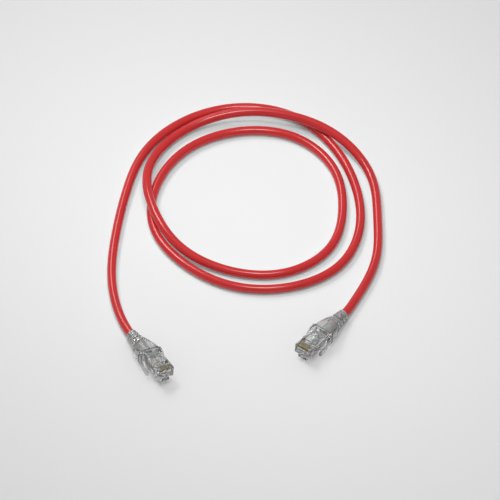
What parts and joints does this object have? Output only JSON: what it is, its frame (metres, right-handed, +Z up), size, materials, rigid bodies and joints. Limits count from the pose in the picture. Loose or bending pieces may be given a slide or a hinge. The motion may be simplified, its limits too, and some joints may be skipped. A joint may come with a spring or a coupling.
{
  "type": "ethernet patch cable",
  "caption": "Round network patch cord lying in loose loops, with a clear eight-way modular plug, sprung latch and see-through ribbed boot at each end.",
  "frame": {"origin": "on the surface it lies on, under the middle of the box around the two plug ends", "axes": "+Z up from the surface; +X from plug end a towards plug end b; +Y from the plugs towards the loops"},
  "size_m": [0.1768, 0.2422, 0.0148],
  "materials": {
    "red_jacket": "smooth satin PVC",
    "clear_plastic": "clear, polished",
    "smoky_boot": "see-through smoke grey, soft gloss",
    "gold_contact": "gold plated",
    "spline_plastic": "natural polyethylene",
    "wire_white_orange": "insulation",
    "wire_orange": "insulation",
    "wire_white_green": "insulation",
    "wire_blue": "insulation",
    "wire_white_blue": "insulation",
    "wire_green": "insulation",
    "wire_white_brown": "insulation",
    "wire_brown": "insulation"
  },
  "bodies": {
    "cord": {"cable_jacket": "red_jacket", "plug_housing_a": "clear_plastic", "load_bar_a": "clear_plastic", "cord_grip_a": "clear_plastic", "pair_separator_a": "spline_plastic", "boot_a": "smoky_boot", "contact_1_a": "gold_contact", "contact_2_a": "gold_contact", "contact_3_a": "gold_contact", "contact_4_a": "gold_contact", "contact_5_a": "gold_contact", "contact_6_a": "gold_contact", "contact_7_a": "gold_contact", "contact_8_a": "gold_contact", "conductor_1_a": "wire_white_orange", "conductor_2_a": "wire_orange", "conductor_3_a": "wire_white_green", "conductor_4_a": "wire_blue", "conductor_5_a": "wire_white_blue", "conductor_6_a": "wire_green", "conductor_7_a": "wire_white_brown", "conductor_8_a": "wire_brown", "plug_housing_b": "clear_plastic", "load_bar_b": "clear_plastic", "cord_grip_b": "clear_plastic", "pair_separator_b": "spline_plastic", "boot_b": "smoky_boot", "contact_1_b": "gold_contact", "contact_2_b": "gold_contact", "contact_3_b": "gold_contact", "contact_4_b": "gold_contact", "contact_5_b": "gold_contact", "contact_6_b": "gold_contact", "contact_7_b": "gold_contact", "contact_8_b": "gold_contact", "conductor_1_b": "wire_white_orange", "conductor_2_b": "wire_orange", "conductor_3_b": "wire_white_green", "conductor_4_b": "wire_blue", "conductor_5_b": "wire_white_blue", "conductor_6_b": "wire_green", "conductor_7_b": "wire_white_brown", "conductor_8_b": "wire_brown"},
    "latch_a": {"plug_latch_a": "clear_plastic"},
    "latch_b": {"plug_latch_b": "clear_plastic"}
  },
  "joints": [
    {"name": "latch_a_press", "type": "hinge", "parent": "cord", "child": "latch_a", "pos_m": [-0.04656, -0.02739, 0.00665], "axis": [0.8712, 0.4598, -0.172], "range_deg": [0, 6], "stiffness_Nm_per_rad": 0.25},
    {"name": "latch_b_press", "type": "hinge", "parent": "cord", "child": "latch_b", "pos_m": [0.04194, -0.00734, 0.00521], "axis": [0.8111, -0.585, 0], "range_deg": [0, 6], "stiffness_Nm_per_rad": 0.25}
  ]
}
